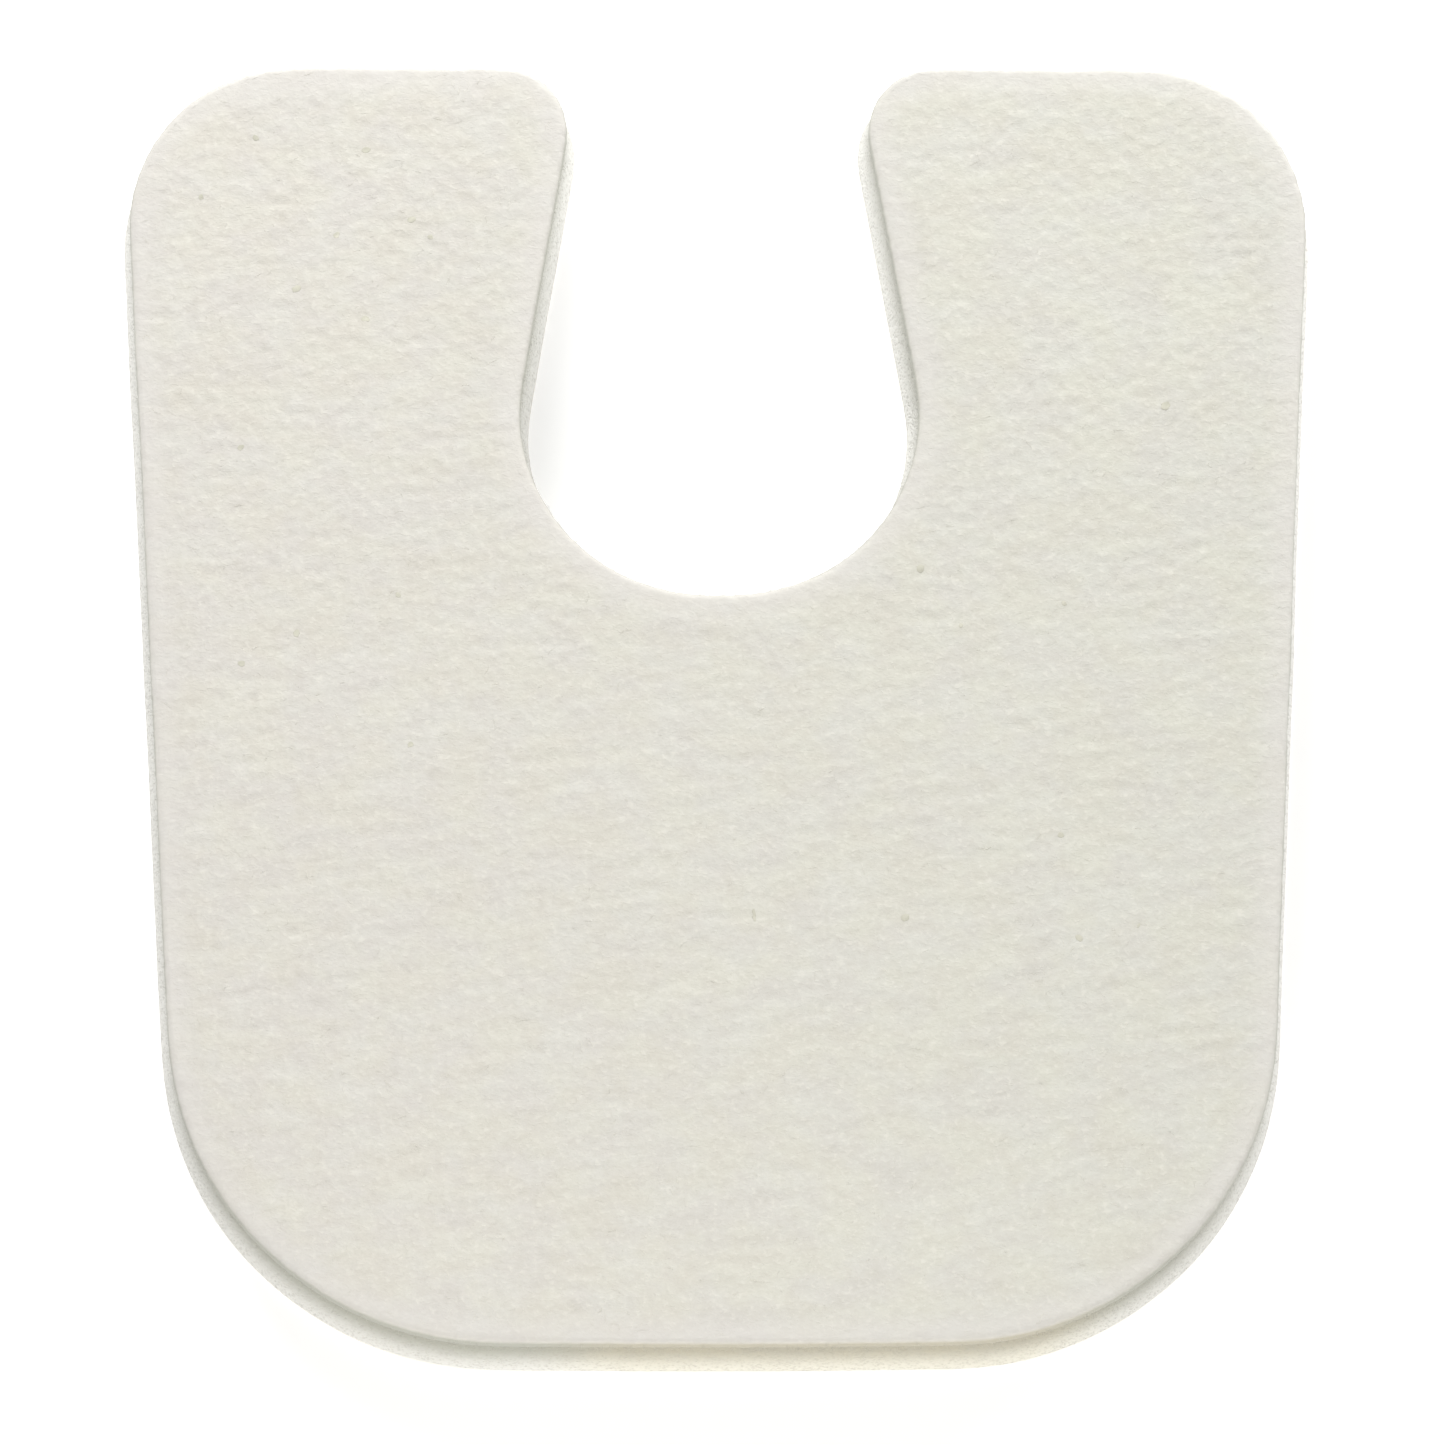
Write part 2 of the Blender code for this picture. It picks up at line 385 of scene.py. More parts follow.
def trimmed_sheet(line, depth, cell):
    """A flat sheet of even quads inside the cut line, its border drawn onto the line at that depth."""
    bm = bmesh.new()
    span = line.high - line.low
    across, along = (math.ceil(side / cell) for side in span)
    bmesh.ops.create_grid(bm, x_segments=across, y_segments=along, size=0.5)
    middle = (line.high + line.low) / 2
    bmesh.ops.scale(bm, verts=bm.verts, vec=(across * cell, along * cell, 1.0))
    bmesh.ops.translate(bm, verts=bm.verts, vec=(middle[0], middle[1], 0.0))
    kept_depth = depth + BORDER_ROOM * cell
    outside = [v for v in bm.verts if line.nearest(v.co)[0] < kept_depth]
    bmesh.ops.delete(bm, geom=outside, context="VERTS")
    while pinched := [v for v in bm.verts if not v.link_faces or is_pinched(v)]:
        bmesh.ops.delete(bm, geom=pinched, context="VERTS")
    border = [v for v in bm.verts if v.is_boundary]
    zone = [v for v in bm.verts if line.nearest(v.co)[0] < depth + RELAX_REACH * cell]
    for _ in range(RELAX_ROUNDS):
        for v in border:
            v.co.xy = line.at_depth(v.co, depth)
        bmesh.ops.smooth_vert(bm, verts=zone, factor=0.5, use_axis_x=True, use_axis_y=True)
    for v in border:
        v.co.xy = line.at_depth(v.co, depth)
    return bm


def add_rows(bm, line, rows):
    """Extrudes the open border through rows of (depth, height) and returns the last row's edges."""
    edges = [e for e in bm.edges if len(e.link_faces) < 2]
    for depth, height in rows:
        grown = bmesh.ops.extrude_edge_only(bm, edges=edges)["geom"]
        edges = [item for item in grown if isinstance(item, bmesh.types.BMEdge)]
        for v in {v for e in edges for v in e.verts}:
            v.co = (*line.at_depth(v.co, depth), height)
        edges = [e for e in edges if e.is_boundary]
    return edges


def close_hidden_side(bm, edges):
    """Fills the last row with one face, and a ring of quads round it."""
    fill = bmesh.ops.edgeloop_fill(bm, edges=edges)["faces"]
    bmesh.ops.inset_region(bm, faces=fill, thickness=HIDDEN_MARGIN, use_even_offset=True)
    bmesh.ops.triangulate(bm, faces=fill, ngon_method="BEAUTY")


def pattern(across, along, layer):
    """Smooth noise in a plane. Each layer number gives a pattern of its own."""
    return noise.noise(Vector((across, along, layer)))


def legs_share(y):
    """0 on the body and 1 on the legs."""
    return smoothstep(LEGS_START, LEGS_END, y)


def crepe_slope(y):
    return CREPE_SLOPE_BODY + (CREPE_SLOPE_LEGS - CREPE_SLOPE_BODY) * legs_share(y)


def crease_depth(x, y):
    """How far the face's few long creases press it in at a place."""
    total = 0.0
    for crease in CREASES:
        turn = math.radians(crease.slope_deg)
        along = (x - crease.x) * math.cos(turn) + (y - crease.y) * math.sin(turn)
        aside = (y - crease.y) * math.cos(turn) - (x - crease.x) * math.sin(turn)
        share = 2 * along / crease.length
        if abs(share) < 1:
            aside -= crease.bow * (1 - share * share)
            total += crease.depth * (1 - share * share) * math.exp(-((aside / CREASE_WIDTH) ** 2))
    return total


def face_relief(x, y, rim_share):
    """Height of the brushed face at a place: crepe, tufts, a slow swell and the creases."""
    across = (y - x * crepe_slope(y)) / CREPE_PITCH
    along = x / CREPE_LENGTH
    sway = CREPE_SWAY * pattern(x / CREPE_SWAY_SIZE, y / CREPE_SWAY_SIZE, 3.0)
    crepe = pattern(along, across + sway, 0.0)
    crepe += FINE_CREPE * pattern(FINE_CREPE_ALONG * along, FINE_CREPE_ACROSS * across + sway, 7.0)
    tuft = pattern(x / TUFT_SIZE, y / TUFT_SIZE, 11.0)
    tuft += FINE_TUFT * pattern(FINE_TUFT_RATE * x / TUFT_SIZE, FINE_TUFT_RATE * y / TUFT_SIZE, 13.0)
    swell = pattern(x / SWELL_SIZE, y / SWELL_SIZE, 17.0)
    legs = legs_share(y)
    crepe *= CREPE_HEIGHT * (1 - CREPE_FADE * y) * (1 - LEGS_FLATTER * legs)
    tuft *= TUFT_HEIGHT * (1 + LEGS_ROUGHER * legs)
    calm = 1 - RIM_PRESS_CALM * rim_share
    return calm * (crepe + tuft) + SWELL_HEIGHT * swell - crease_depth(x, y)


def face_height(line, place):
    """The height of the cover's face, and how near the place is to the rim, from 0 to 1."""
    depth = line.nearest(place)[0] - COVER_INSET
    rim_share = 1 - smoothstep(RIM_ROUND, RIM_ROUND + RIM_PRESS_REACH, depth)
    height = COVER_TOP - RIM_PRESS * rim_share + face_relief(place.x, place.y, rim_share)
    return height, rim_share


def make_cover(line, material):
    """The brushed cover: a fine sheet with a pressed, rounded rim."""
    bm = trimmed_sheet(line, COVER_INSET + RIM_ROUND, COVER_CELL)
    for mask in ("rim", "cut"):
        bm.verts.layers.float.new(mask)
    rim, cut = (bm.verts.layers.float[mask] for mask in ("rim", "cut"))
    for v in bm.verts:
        v.co.z, v[rim] = face_height(line, v.co)
    turn = COVER_TOP - RIM_PRESS - RIM_ROUND
    rows = []
    for i in range(1, RIM_ROUND_STEPS + 1):
        angle = math.pi / 2 * i / RIM_ROUND_STEPS
        rows.append((COVER_INSET + RIM_ROUND * (1 - math.sin(angle)), turn + RIM_ROUND * math.cos(angle)))
    for i in range(1, RIM_SIDE_STEPS + 1):
        rows.append((COVER_INSET, turn + (COVER_BOTTOM - turn) * i / RIM_SIDE_STEPS))
    face = set(bm.verts)
    edges = add_rows(bm, line, rows)
    for v in bm.verts:
        if v in face:
            continue
        v[rim] = 1.0
        v[cut] = 1 - smoothstep(turn, turn + CUT_LOOK_HEIGHT, v.co.z)
        _, _, normal = line.nearest(v.co)
        rough = RIM_ROUGHNESS * noise.noise(v.co / RIM_GRAIN)
        v.co += normal.to_3d() * rough
        if v.co.z > COVER_BOTTOM + WELD:
            v.co.z += rough
    close_hidden_side(bm, edges)
    return finished("brushed_cover", bm, material)


def wall_levels(node):
    """(height, half width) at each level of a node's wall, from the foot up."""
    widest = {}
    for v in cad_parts[node].data.vertices:
        level = round(v.co.z / WELD)
        widest[level] = max(widest.get(level, 0.0), v.co.x)
    return [(level * WELD, widest[level]) for level in sorted(widest)]


def wall_roughness(place):
    """How far the cut wall lies back at a place: pores, grain, and the die's slow waves."""
    distances, _ = noise.voronoi(place / PORE_SIZE)
    pore = 1 - smoothstep(0.0, PORE_WIDTH, distances[0])
    grain = noise.noise(place / WALL_GRAIN)
    wave = noise.noise(Vector((place.x, place.y, place.z * WALL_WAVE_RISE)) / WALL_WAVE_LENGTH)
    return PORE_DEPTH * pore + WALL_GRAIN_DEPTH * grain + WALL_WAVE * wave


def make_foam(line, material):
    """The foam core: a porous cut wall that spreads to its foot."""
    levels = wall_levels(FOAM_NODE)
    heights = [height for height, _ in levels]
    depths = [PAD_HALF_WIDTH - half_width for _, half_width in levels]
    bottom, top = heights[0], heights[-1]
    rows = []
    for z in np.linspace(bottom, top, round((top - bottom) / WALL_CELL) + 1):
        groove = GROOVE_DEPTH * smoothstep(top - GROOVE_REACH, top, z)
        rows.append((float(np.interp(z, heights, depths)) + groove, float(z)))
    bm = bmesh.new()
    count = round(line.length() / WALL_CELL)
    ring = bmesh.ops.create_circle(bm, cap_ends=False, segments=count, radius=1.0)["verts"]
    for i, v in enumerate(ring):
        point = line.points[int(i * len(line.points) / count)]
        v.co = (point.x, point.y, bottom)
    # The foot mask carries painted floor light, paler towards the wall's foot
    foot = bm.verts.layers.float.new("foot")
    lowest = list(bm.edges)
    highest = add_rows(bm, line, rows[1:])
    for v in bm.verts:
        _, _, normal = line.nearest(v.co)
        sideways = 1 - abs(normal.y)
        pale = 1 - smoothstep(PAINTED_FOOT_LIGHT_LOW, PAINTED_FOOT_LIGHT_HIGH + PAINTED_FOOT_LIGHT_SIDES * sideways, v.co.z)
        v[foot] = pale * (1 - (1 - PAINTED_FOOT_LIGHT_BACK) * max(0.0, normal.y))
        inner = smoothstep(0.0, WALL_END_REACH, min(v.co.z - bottom, top - v.co.z))
        calm = WALL_END_SHARE + (1 - WALL_END_SHARE) * inner
        v.co -= normal.to_3d() * wall_roughness(v.co) * calm
    close_hidden_side(bm, lowest)
    close_hidden_side(bm, highest)
    return finished("foam_body", bm, material)


def make_film(line, material):
    """The tacky film: a thin sheet whose underside has faint ripples."""
    bm = trimmed_sheet(line, FILM_EDGE_ROUND, FILM_CELL)
    cut = bm.verts.layers.float.new("cut")
    for v in bm.verts:
        ripple = 1 + noise.noise(v.co / FILM_RIPPLE_SIZE)
        inner = smoothstep(0.0, FILM_RIPPLE_FADE, line.nearest(v.co)[0] - FILM_EDGE_ROUND)
        v.co.z = FILM_BOTTOM + FILM_RIPPLE * ripple * inner
    rows = [
        (FILM_EDGE_STEP, FILM_BOTTOM + FILM_EDGE_STEP),
        (0.0, FILM_BOTTOM + FILM_EDGE_ROUND),
        (0.0, FILM_TOP - FILM_EDGE_ROUND),
        (FILM_EDGE_STEP, FILM_TOP - FILM_EDGE_STEP),
        (FILM_EDGE_ROUND, FILM_TOP),
    ]
    tacky_side = set(bm.verts)
    edges = add_rows(bm, line, rows)
    for v in bm.verts:
        v[cut] = 0.0 if v in tacky_side else 1.0
    close_hidden_side(bm, edges)
    return finished("tacky_film", bm, material)


def repeated(name, template, count, material):
    """One mesh with that many copies of the template's points in a row, for a caller to place."""
    seed_mesh = bpy.data.meshes.new(name)
    template.to_mesh(seed_mesh)
    template.free()
    seed = bpy.data.objects.new(name + "_seed", seed_mesh)
    bpy.context.scene.collection.objects.link(seed)
    array = seed.modifiers.new("copies", "ARRAY")
    array.count = count
    array.use_relative_offset = False
    evaluated = seed.evaluated_get(bpy.context.evaluated_depsgraph_get())
    mesh = bpy.data.meshes.new_from_object(evaluated)
    bpy.data.objects.remove(seed, do_unlink=True)
    mesh.name = name
    mesh.shade_smooth()
    mesh.materials.clear()
    mesh.materials.append(material)
    piece = bpy.data.objects.new(name, mesh)
    bpy.context.scene.collection.objects.link(piece)
    return piece


def strand():
    """A closed strand along Z from 0 to 1, radius 1, thinned to its tips."""
    bm = bmesh.new()
    bmesh.ops.create_circle(bm, cap_ends=True, segments=FIBRE_SIDES, radius=1.0)
    top = bm.faces[:]
    for i in range(FIBRE_STEPS):
        grown = bmesh.ops.extrude_face_region(bm, geom=top)["geom"]
        if i:
            bmesh.ops.delete(bm, geom=top, context="FACES_ONLY")
        top = [item for item in grown if isinstance(item, bmesh.types.BMFace)]
        bmesh.ops.translate(bm, verts=top[0].verts, vec=(0.0, 0.0, 1 / FIBRE_STEPS))
    bmesh.ops.recalc_face_normals(bm, faces=bm.faces)
    for v in bm.verts:
        thickness = FIBRE_TIP + (1 - FIBRE_TIP) * math.sin(math.pi * v.co.z)
        v.co.x *= thickness
        v.co.y *= thickness
    return bm


def place_strands(piece, routes, radii):
    """Bends each copy of the strand along its own route of FIBRE_STEPS + 1 points."""
    shape = np.empty(len(piece.data.vertices) * 3)
    piece.data.vertices.foreach_get("co", shape)
    shape = shape.reshape(len(routes), -1, 3)
    station = np.rint(shape[0, :, 2] * FIBRE_STEPS).astype(int)
    routes = np.array(routes)
    ahead = np.gradient(routes, axis=1)
    ahead /= np.linalg.norm(ahead, axis=2)[:, :, None]
    aside = np.cross(ahead, (0.0, 0.0, 1.0))
    aside /= np.linalg.norm(aside, axis=2)[:, :, None] + TINY
    upward = np.cross(ahead, aside)
    radii = np.array(radii)[:, None, None]
    placed = routes[:, station]
    placed = placed + shape[:, :, :1] * radii * aside[:, station]
    placed = placed + shape[:, :, 1:2] * radii * upward[:, station]
    piece.data.vertices.foreach_set("co", placed.ravel())
    piece.data.update()


def face_fibre(line, dice):
    """A fibre that lies on the face, curled in plan and lifting a little at its middle."""
    while True:
        start = Vector((dice.uniform(line.low[0], line.high[0]), dice.uniform(line.low[1], line.high[1])))
        if line.nearest(start)[0] > COVER_INSET + RIM_ROUND:
            break
    length = dice.uniform(*FACE_FIBRE_LENGTH)
    heading = math.atan(crepe_slope(start.y)) + dice.gauss(0.0, FACE_FIBRE_STRAY)
    heading += math.pi * dice.randrange(2)
    curl = dice.gauss(0.0, FACE_FIBRE_CURL)
    lift = dice.uniform(*FACE_FIBRE_LIFT)
    route = []
    place = start.copy()
    for i in range(FIBRE_STEPS + 1):
        share = i / FIBRE_STEPS
        depth, point, normal = line.nearest(place)
        if depth < COVER_INSET + RIM_ROUND:
            place = point - normal * (COVER_INSET + RIM_ROUND)
        height, _ = face_height(line, place)
        height += lift * (4 * share * (1 - share)) - FACE_FIBRE_SINK
        route.append((place.x, place.y, height))
        heading += curl / FIBRE_STEPS
        place = place + Vector((math.cos(heading), math.sin(heading))) * length / FIBRE_STEPS
    return route


def rim_fibre(line, dice):
    """A fibre that stands out from the cover's cut side and droops."""
    index = dice.randrange(len(line.points))
    normal = line.normals[index]
    tangent = Vector((-normal.y, normal.x))
    height = dice.uniform(COVER_BOTTOM, COVER_TOP - RIM_PRESS - RIM_FIBRE_TOP)
    reach = dice.uniform(*RIM_FIBRE_REACH)
    sideways = dice.gauss(0.0, RIM_FIBRE_SIDEWAYS) * reach
    droop = dice.uniform(*RIM_FIBRE_DROOP) * reach
    route = []
    for i in range(FIBRE_STEPS + 1):
        share = i / FIBRE_STEPS
        place = line.points[index] - normal * (COVER_INSET + RIM_FIBRE_SINK)
        place = place + normal * reach * share + tangent * sideways * share * share
        route.append((place.x, place.y, height - droop * share * share))
    return route


def make_fibres(name, line, material, count, route_of, thickness):
    dice = random.Random(FIBRE_SEED + count)
    routes = [route_of(line, dice) for _ in range(count)]
    radii = [dice.uniform(*thickness) for _ in range(count)]
    piece = repeated(name, strand(), count, material)
    place_strands(piece, routes, radii)
    return piece


def make_specks(cover, material):
    """Small flat bits that lie on the cover's face and follow its relief.

    They are made facing outwards. Recalculated normals would turn some of these thin bits inside out.
    """
    face = BVHTree.FromObject(cover, bpy.context.evaluated_depsgraph_get())
    down = Vector((0.0, 0.0, -1.0))
    noise.seed_set(SPECK_SEED)  # else noise_vector differs in every run
    bm = bmesh.new()
    for speck in SPECKS:
        turn = Matrix.Rotation(math.radians(speck.turn_deg), 4, "Z")
        size = Matrix.Diagonal((speck.length / 2, speck.width / 2, SPECK_HALF_HEIGHT, 1.0))
        place = Matrix.Translation((speck.x, speck.y, SPECK_LIFT))
        bmesh.ops.create_icosphere(bm, subdivisions=3, radius=1.0, matrix=place @ turn @ size)
    for v in bm.verts:
        v.co.xy += SPECK_RAGGEDNESS * noise.noise_vector(v.co / SPECK_RAGGED_SIZE).xy
        v.co.z += face.ray_cast((v.co.x, v.co.y, 2 * COVER_TOP), down)[0].z
    return finished("caught_specks", bm, material, turn_outwards=False)


def new_group(name, numbers, outputs):
    """An empty shader node group: a vector and numbers with these defaults go in, numbers come out."""
    tree = bpy.data.node_groups.new(name, "ShaderNodeTree")
    tree.interface.new_socket(name="Vector", in_out="INPUT", socket_type="NodeSocketVector")
    for label, default in numbers.items():
        socket = tree.interface.new_socket(name=label, in_out="INPUT", socket_type="NodeSocketFloat")
        socket.default_value = default
    for label in outputs:
        tree.interface.new_socket(name=label, in_out="OUTPUT", socket_type="NodeSocketFloat")
    return tree, tree.nodes.new("NodeGroupInput"), tree.nodes.new("NodeGroupOutput")


def feed(tree, socket, value):
    """Links another socket to this one, or sets its value."""
    if isinstance(value, bpy.types.NodeSocket):
        tree.links.new(value, socket)
    else:
        socket.default_value = value


def add_node(tree, kind, **inputs):
    """A node, with its inputs fed by name."""
    node = tree.nodes.new(kind)
    for label, value in inputs.items():
        feed(tree, node.inputs[label], value)
    return node


def math_node(tree, operation, first, second):
    node = tree.nodes.new("ShaderNodeMath")
    node.operation = operation
    for socket, value in zip(node.inputs, (first, second)):
        feed(tree, socket, value)
    return node.outputs[0]


def share_of(tree, value, share):
    return math_node(tree, "MULTIPLY", value, share)


def one_minus(tree, value):
    return math_node(tree, "SUBTRACT", 1.0, value)


def ramp(tree, value, low, high):
    """The value spread smoothly from low..high to 0..1."""
    node = tree.nodes.new("ShaderNodeMapRange")
    node.interpolation_type = "SMOOTHSTEP"
    tree.links.new(value, node.inputs["Value"])
    node.inputs["From Min"].default_value = low
    node.inputs["From Max"].default_value = high
    return node.outputs["Result"]


def noise_value(tree, vector, scale, **inputs):
    return add_node(tree, "ShaderNodeTexNoise", Vector=vector, Scale=scale, **inputs).outputs["Fac"]


def stretched(tree, vector, x, y, z):
    """The vector with its three coordinates multiplied by these."""
    factors = add_node(tree, "ShaderNodeCombineXYZ", X=x, Y=y, Z=z)
    product = tree.nodes.new("ShaderNodeVectorMath")
    product.operation = "MULTIPLY"
    tree.links.new(vector, product.inputs[0])
    tree.links.new(factors.outputs[0], product.inputs[1])
    return product.outputs[0]


def mix_colour(tree, share, first, second):
    node = tree.nodes.new("ShaderNodeMix")
    node.data_type = "RGBA"
    for label, value in (("Factor_Float", share), ("A_Color", first), ("B_Color", second)):
        feed(tree, next(s for s in node.inputs if s.identifier == label), value)
    return next(s for s in node.outputs if s.identifier == "Result_Color")


def attribute(tree, name):
    node = tree.nodes.new("ShaderNodeAttribute")
    node.attribute_name = name
    return node.outputs["Fac"]


def cloud_group():
    """Soft patches of two sizes and a broken mottle, for uneven dye and soiling."""
    numbers = {"Size": 3.0, "Stretch": 1.0}
    tree, given, made = new_group("soft_clouds", numbers, ("Patches", "Flecks", "Mottle"))
    vector = stretched(tree, given.outputs["Vector"], given.outputs["Stretch"], 1.0, 1.0)
    scale = math_node(tree, "DIVIDE", 1.0, given.outputs["Size"])
    fine_scale = math_node(tree, "MULTIPLY", scale, FLECKS_TO_A_PATCH)
    patches = noise_value(tree, vector, scale, Detail=3.0, Roughness=CLOUD_ROUGHNESS)
    flecks = noise_value(tree, vector, fine_scale, Detail=2.0, Roughness=CLOUD_ROUGHNESS)
    mottle = noise_value(tree, vector, scale, Detail=4.0, Roughness=MOTTLE_ROUGHNESS)
    tree.links.new(ramp(tree, patches, *PATCH_RANGE), made.inputs["Patches"])
    tree.links.new(ramp(tree, flecks, *FLECK_RANGE), made.inputs["Flecks"])
    tree.links.new(mottle, made.inputs["Mottle"])
    return tree


def pile_group():
    """Fine matted fibres: streaks of one length and width, broken up by a rounder grain."""
    numbers = {"Length": 0.6, "Width": 0.12}
    tree, given, made = new_group("matted_pile", numbers, ("Height", "Hollows", "Tips"))
    per_length = math_node(tree, "DIVIDE", 1.0, given.outputs["Length"])
    per_width = math_node(tree, "DIVIDE", 1.0, given.outputs["Width"])
    vector = stretched(tree, given.outputs["Vector"], per_length, per_width, per_width)
    streaks = noise_value(tree, vector, 1.0, Detail=2.0, Distortion=STREAK_BEND)
    grain_scale = share_of(tree, per_width, GRAINS_TO_A_WIDTH)
    grain = noise_value(tree, given.outputs["Vector"], grain_scale, Detail=3.0)
    height = share_of(tree, math_node(tree, "ADD", streaks, grain), 0.5)
    tree.links.new(height, made.inputs["Height"])
    tree.links.new(one_minus(tree, ramp(tree, height, *HOLLOW_RANGE)), made.inputs["Hollows"])
    tree.links.new(ramp(tree, height, *TIP_RANGE), made.inputs["Tips"])
    return tree


def cell_group():
    """Small open cells, as in cut foam."""
    tree, given, made = new_group("open_cells", {"Size": 0.2}, ("Height", "Hollows"))
    scale = math_node(tree, "DIVIDE", 1.0, given.outputs["Size"])
    cells = add_node(tree, "ShaderNodeTexVoronoi", Vector=given.outputs["Vector"], Scale=scale)
    height = ramp(tree, cells.outputs["Distance"], *CELL_RANGE)
    tree.links.new(height, made.inputs["Height"])
    tree.links.new(one_minus(tree, height), made.inputs["Hollows"])
    return tree


def warm_spot_group():
    """Where the cut side is warmer: a soft spot round one place on the lower edge."""
    tree, given, made = new_group("edge_warm_spot", {}, ("Share",))
    away = tree.nodes.new("ShaderNodeVectorMath")
    away.operation = "DISTANCE"
    away.inputs[1].default_value = WARMER_PLACE / MM
    tree.links.new(given.outputs["Vector"], away.inputs[0])
    outside = ramp(tree, away.outputs["Value"], WARMER_CORE / MM, WARMER_REACH / MM)
    tree.links.new(one_minus(tree, outside), made.inputs["Share"])
    return tree


def grouped(tree, group, **inputs):
    """The outputs of a node that holds the group, its inputs fed by name."""
    node = tree.nodes.new("ShaderNodeGroup")
    node.node_tree = group
    for label, value in inputs.items():
        feed(tree, node.inputs[label], value)
    return node.outputs


def new_material(name, roughness):
    """A material with its shader, and the object's own coordinates in millimetres."""
    material = bpy.data.materials.new(name)
    material.use_nodes = True
    tree = material.node_tree
    shader = tree.nodes["Principled BSDF"]
    shader.inputs["Roughness"].default_value = roughness
    place = tree.nodes.new("ShaderNodeTexCoord")
    millimetres = tree.nodes.new("ShaderNodeVectorMath")
    millimetres.operation = "SCALE"
    millimetres.inputs["Scale"].default_value = 1 / MM
    tree.links.new(place.outputs["Object"], millimetres.inputs[0])
    return material, tree, shader, millimetres.outputs[0]


def set_bump(tree, shader, height, depth):
    bump = tree.nodes.new("ShaderNodeBump")
    bump.inputs["Distance"].default_value = depth
    tree.links.new(height, bump.inputs["Height"])
    tree.links.new(bump.outputs["Normal"], shader.inputs["Normal"])


def shaded_cut_colour(tree, warm_spot, place):
    """The cut side, painted darker and greyer than the face as shade, and warmer along a part of the lower
    edge.
    """
    share = grouped(tree, warm_spot, Vector=place)["Share"]
    return mix_colour(tree, share, SHADED_CUT_SIDE, SHADED_CUT_SIDE_WARMER)


def fleece_material(clouds, pile, warm_spot):
    """Brushed fleece: rosier at the left and greener at the right, mottled, with painted shade in its
    hollows and painted highlights on its tips, and paler at its rim, partly with a painted glow of light.
    """
    material, tree, shader, place = new_material("brushed_fleece", FLEECE_ROUGHNESS)
    patches = grouped(tree, clouds, Vector=place, Size=2.6, Stretch=0.8)["Patches"]
    shade = grouped(tree, clouds, Vector=place, Size=1.4, Stretch=0.75)
    fibres = grouped(tree, pile, Vector=place, Length=0.30, Width=0.18)
    across = add_node(tree, "ShaderNodeSeparateXYZ", Vector=place).outputs["X"]
    rosy = mix_colour(tree, patches, *ROSY_TINTS)
    green = mix_colour(tree, patches, *GREEN_TINTS)
    by_side = share_of(tree, ramp(tree, across, GREEN_START / MM, GREEN_END / MM), GREEN_BY_SIDE)
    by_patch = share_of(tree, shade["Patches"], 1 - GREEN_BY_SIDE)
    colour = mix_colour(tree, math_node(tree, "ADD", by_side, by_patch), rosy, green)
    bright = mix_colour(tree, MOTTLE_WHITE, colour, WHITE)
    dark = mix_colour(tree, MOTTLE_BLACK, colour, BLACK)
    colour = mix_colour(tree, shade["Mottle"], dark, bright)
    # Painted shade in the pile's hollows, and painted highlights on its tips
    colour = mix_colour(tree, share_of(tree, fibres["Hollows"], PILE_HOLLOW_SHADE_SHARE), colour, PILE_HOLLOW_SHADE)
    colour = mix_colour(tree, share_of(tree, fibres["Tips"], PILE_TIP_HIGHLIGHT_SHARE), colour, PILE_TIP_HIGHLIGHT)
    # The rim is paler: its pressed nap, and partly a painted glow of light along the edge
    pale = share_of(tree, attribute(tree, "rim"), PALE_RIM_AND_GLOW_SHARE)
    colour = mix_colour(tree, pale, colour, PALE_RIM_AND_GLOW)
    # The cut side takes its painted shade
    colour = mix_colour(tree, attribute(tree, "cut"), colour, shaded_cut_colour(tree, warm_spot, place))
    tree.links.new(colour, shader.inputs["Base Color"])
    shader.inputs["Sheen Weight"].default_value = FLEECE_SHEEN
    set_bump(tree, shader, fibres["Height"], PILE_BUMP)
    return material


def tinted_material(name, clouds, size, tints):
    """A plain matt look that wavers between two tints."""
    material, tree, shader, place = new_material(name, FIBRE_ROUGHNESS)
    patches = grouped(tree, clouds, Vector=place, Size=size, Stretch=1.0)["Patches"]
    tree.links.new(mix_colour(tree, patches, *tints), shader.inputs["Base Color"])
    return material


def foam_material(clouds, cells, warm_spot):
    """Cut foam: open cells, faint patches, a wall painted dark with shade, and painted floor light that
    pales it towards its foot.
    """
    material, tree, shader, place = new_material("cut_foam", FOAM_ROUGHNESS)
    patches = grouped(tree, clouds, Vector=place, Size=1.8, Stretch=1.0)["Patches"]
    pores = grouped(tree, cells, Vector=place, Size=0.16)
    colour = shaded_cut_colour(tree, warm_spot, place)
    colour = mix_colour(tree, share_of(tree, patches, FOAM_PATCH_SHARE), colour, FOAM_PATCH)
    warmth = grouped(tree, warm_spot, Vector=place)["Share"]
    pale = mix_colour(tree, warmth, PAINTED_FOOT_LIGHT, PAINTED_FOOT_LIGHT_WARMER)
    # Painted floor light towards the wall's foot
    colour = mix_colour(tree, attribute(tree, "foot"), colour, pale)
    # Painted shade in the pores
    colour = mix_colour(tree, share_of(tree, pores["Hollows"], FOAM_PORE_SHADE_SHARE), colour, FOAM_PORE_SHADE)
    tree.links.new(colour, shader.inputs["Base Color"])
    set_bump(tree, shader, pores["Height"], PORE_BUMP)
    return material


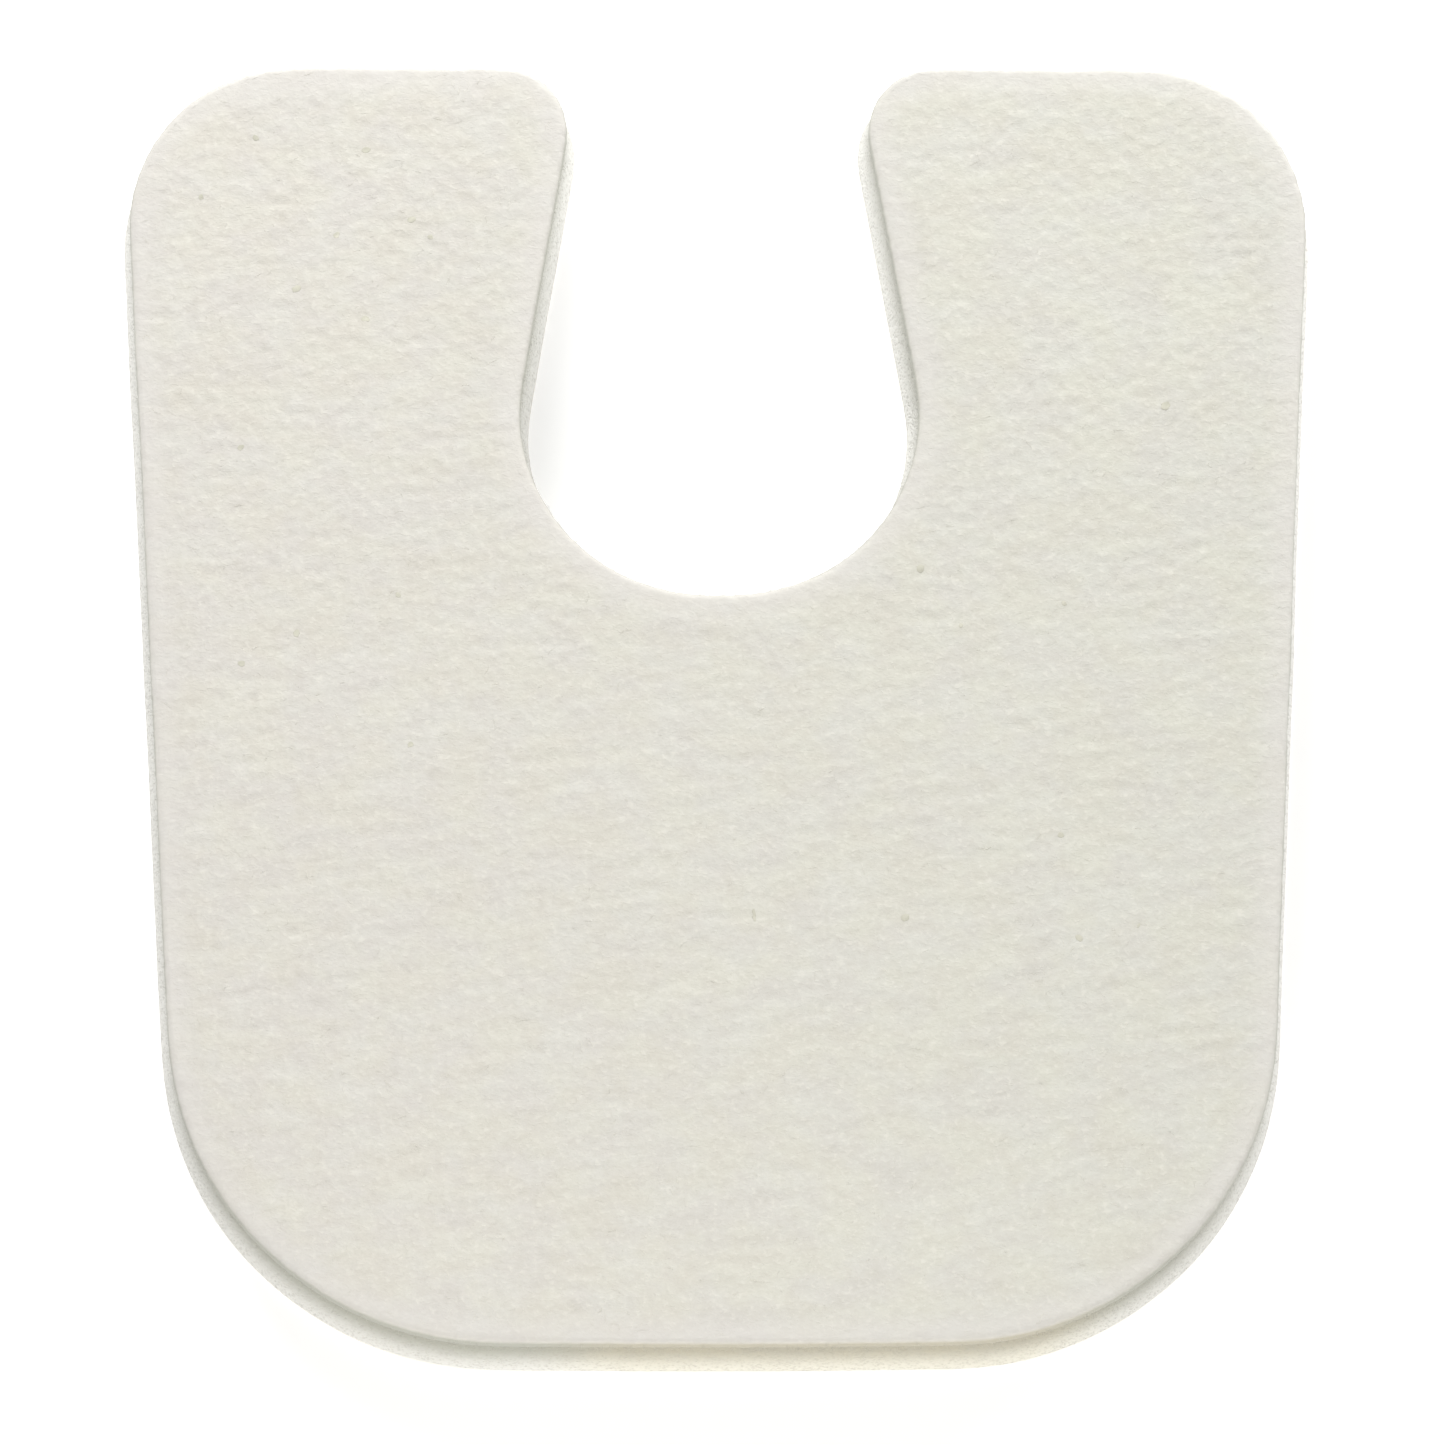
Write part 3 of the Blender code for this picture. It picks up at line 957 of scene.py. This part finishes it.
def film_material(clouds, cells):
    """A satin tacky film with shallow dimples, its cut edge painted pale with the floor's light."""
    material, tree, shader, place = new_material("tacky_adhesive", FILM_ROUGHNESS)
    tint = grouped(tree, clouds, Vector=place, Size=5.0, Stretch=1.0)
    dimples = grouped(tree, cells, Vector=place, Size=0.9)
    colour = mix_colour(tree, tint["Patches"], *FILM_TINTS)
    colour = mix_colour(tree, attribute(tree, "cut"), colour, FILM_CUT_FLOOR_LIGHT)
    tree.links.new(colour, shader.inputs["Base Color"])
    rough = tree.nodes.new("ShaderNodeMapRange")
    rough.inputs["To Min"].default_value = FILM_SMOOTHEST
    rough.inputs["To Max"].default_value = FILM_ROUGHEST
    tree.links.new(tint["Flecks"], rough.inputs["Value"])
    tree.links.new(rough.outputs["Result"], shader.inputs["Roughness"])
    set_bump(tree, shader, dimples["Height"], DIMPLE_BUMP)
    return material


def make_camera():
    """The photo's view: from above, tilted towards the lower edge, with a slight roll."""
    back = Vector((
        -math.sin(CAMERA_DRIFT) * math.cos(CAMERA_TILT),
        -math.sin(CAMERA_TILT),
        math.cos(CAMERA_DRIFT) * math.cos(CAMERA_TILT),
    )).normalized()
    right = Vector((0.0, 1.0, 0.0)).cross(back).normalized()
    up = back.cross(right)
    turned = Matrix((right, up, back)).transposed() @ Matrix.Rotation(CAMERA_ROLL, 3, "Z")
    data = bpy.data.cameras.new("camera")
    data.sensor_width = SENSOR
    data.lens = LENS
    data.shift_x = (FRAME_PIXELS / 2 - TARGET_PIXEL[0]) / FRAME_PIXELS
    data.shift_y = (TARGET_PIXEL[1] - FRAME_PIXELS / 2) / FRAME_PIXELS
    camera = bpy.data.objects.new("camera", data)
    camera.matrix_world = Matrix.Translation(CAMERA_TARGET + back * CAMERA_DISTANCE) @ turned.to_4x4()
    bpy.context.scene.collection.objects.link(camera)
    bpy.context.scene.camera = camera


def soft_light(lamp):
    """A square lamp that faces the pad."""
    data = bpy.data.lights.new(lamp.name, "AREA")
    data.size = lamp.size
    data.energy = lamp.power
    data.color = lamp.colour
    light = bpy.data.objects.new(lamp.name, data)
    light.location = lamp.place
    light.rotation_mode = "QUATERNION"
    light.rotation_quaternion = Vector(lamp.place).to_track_quat("Z", "Y")
    light.visible_camera = False
    bpy.context.scene.collection.objects.link(light)


def make_studio():
    """A plain pale floor, a soft white surround, a large soft lamp at the upper left and two weak ones."""
    bm = bmesh.new()
    bmesh.ops.create_grid(bm, x_segments=1, y_segments=1, size=FLOOR_HALF_SIDE)
    bmesh.ops.translate(bm, verts=bm.verts, vec=(0.0, 0.0, -FLOOR_GAP))
    material, _, shader, _ = new_material("studio_floor", FLOOR_ROUGHNESS)
    shader.inputs["Base Color"].default_value = FLOOR_COLOUR
    shader.inputs["Specular IOR Level"].default_value = 0.0
    shader.inputs["Emission Color"].default_value = WHITE
    shader.inputs["Emission Strength"].default_value = FLOOR_GLOW
    floor = finished("studio_floor", bm, material)
    world = bpy.data.worlds.new("studio")
    world.use_nodes = True
    background = world.node_tree.nodes["Background"]
    background.inputs["Color"].default_value = WHITE
    background.inputs["Strength"].default_value = SURROUND_STRENGTH
    bpy.context.scene.world = world
    for lamp in LAMPS:
        soft_light(lamp)
    bpy.context.scene.view_settings.view_transform = "Standard"


def dress():
    """Makes every piece and hangs it on the frame."""
    line = CutLine(foot_corners(FILM_NODE))
    clouds, pile, cells, warm_spot = cloud_group(), pile_group(), cell_group(), warm_spot_group()
    nap_look = tinted_material("loose_fibre", clouds, FIBRE_TINT_SIZE, FACE_FIBRE_LIT_TINTS)
    fuzz_look = tinted_material("rim_fibre", clouds, FIBRE_TINT_SIZE, RIM_FIBRE_SHADE_TINTS)
    cover = make_cover(line, fleece_material(clouds, pile, warm_spot))
    foam = make_foam(line, foam_material(clouds, cells, warm_spot))
    film = make_film(line, film_material(clouds, cells))
    nap = make_fibres("face_fibres", line, nap_look, FACE_FIBRES, face_fibre, FACE_FIBRE_RADIUS)
    fuzz = make_fibres("rim_fibres", line, fuzz_look, RIM_FIBRES, rim_fibre, RIM_FIBRE_RADIUS)
    specks = make_specks(cover, tinted_material("caught_speck", clouds, SPECK_TINT_SIZE, SPECK_TINTS))
    for piece, slot in (
        (cover, "fleece"),
        (foam, "foam"),
        (film, "adhesive"),
        (nap, "fleece"),
        (fuzz, "fleece"),
        (specks, "fleece"),
    ):
        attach(piece, BODY)
    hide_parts(COVER_NODE)
    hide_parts(FOAM_NODE)
    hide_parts(FILM_NODE)


make_camera()
make_studio()
dress()
